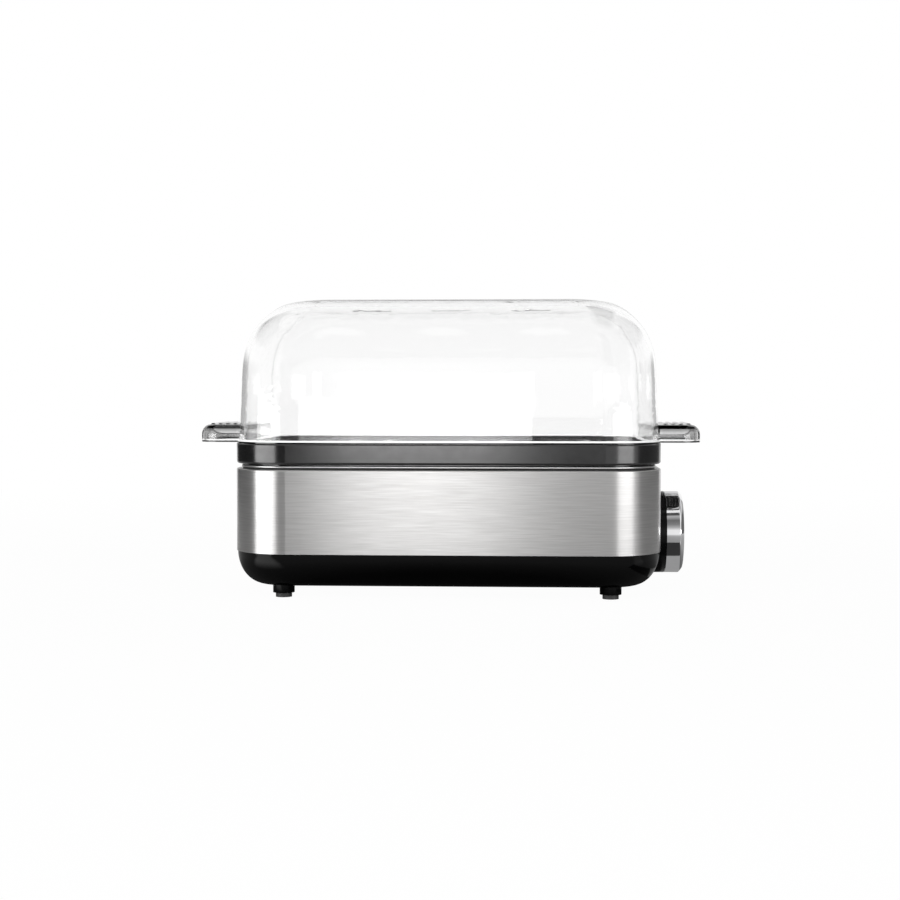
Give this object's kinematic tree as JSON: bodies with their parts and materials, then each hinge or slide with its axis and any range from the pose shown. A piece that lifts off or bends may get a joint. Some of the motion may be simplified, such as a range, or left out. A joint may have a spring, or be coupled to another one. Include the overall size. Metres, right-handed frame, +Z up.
{
  "type": "egg cooker",
  "caption": "Electric egg cooker with a clear domed lid, black egg tray, steel-banded body with a heating bowl and a rotary knob on one end",
  "frame": {"origin": "on the worktop under the middle of the cooker", "axes": "+X to the knob's end, +Y to the back, +Z up"},
  "size_m": [0.2266, 0.11, 0.1326],
  "materials": {
    "clear_plastic": "gloss",
    "gloss_black": "gloss",
    "matte_black": "matte",
    "brushed_steel": "satin",
    "polished_steel": "polished",
    "plated_steel": "satin",
    "heater_steel": "satin",
    "aluminium": "satin",
    "chrome": "polished",
    "silicone": "matte",
    "foot_rubber": "matte",
    "ceramic": "matte",
    "fuse_sleeve": "matte",
    "board_green": "satin",
    "relay_case": "satin",
    "capacitor_case": "satin",
    "terminal_white": "satin",
    "lead_red": "satin",
    "lead_blue": "satin",
    "lead_green": "satin"
  },
  "bodies": {
    "base": {"heating_bowl": "polished_steel", "bowl_seal": "silicone", "heater_plate": "aluminium", "heating_element": "heater_steel", "element_terminals": "plated_steel", "thermal_cutout": "ceramic", "cutout_bracket": "plated_steel", "cutout_screws": "plated_steel", "thermal_fuse": "fuse_sleeve", "fuse_clip": "plated_steel", "heat_shield": "plated_steel", "stud_nuts": "plated_steel", "base_pan": "gloss_black", "foot_pads": "foot_rubber", "base_screws": "plated_steel", "steel_band": "brushed_steel", "inner_frame": "matte_black", "knob_bezel": "gloss_black", "control_pot": "matte_black", "control_board": "board_green", "board_screws": "plated_steel", "relay": "relay_case", "capacitor": "capacitor_case", "buzzer": "matte_black", "cord_gland": "matte_black", "terminal_block": "terminal_white", "heater_leads": "lead_red", "mains_leads": "lead_blue", "earth_lead": "lead_green"},
    "tray": {"egg_tray": "gloss_black"},
    "lid": {"lid": "clear_plastic"},
    "knob": {"knob_cap": "chrome", "knob_hub": "matte_black", "control_shaft": "aluminium"}
  },
  "joints": [
    {"name": "tray_lift", "type": "slide", "parent": "base", "child": "tray", "axis": [0, 0, 1], "range_m": [0, 0.06]},
    {"name": "lid_lift", "type": "slide", "parent": "tray", "child": "lid", "axis": [0, 0, 1], "range_m": [0, 0.09]},
    {"name": "knob_turn", "type": "hinge", "parent": "base", "child": "knob", "pos_m": [0.0985, 0, 0.0262], "axis": [-1, 0, 0], "range_deg": [0, 270]}
  ]
}
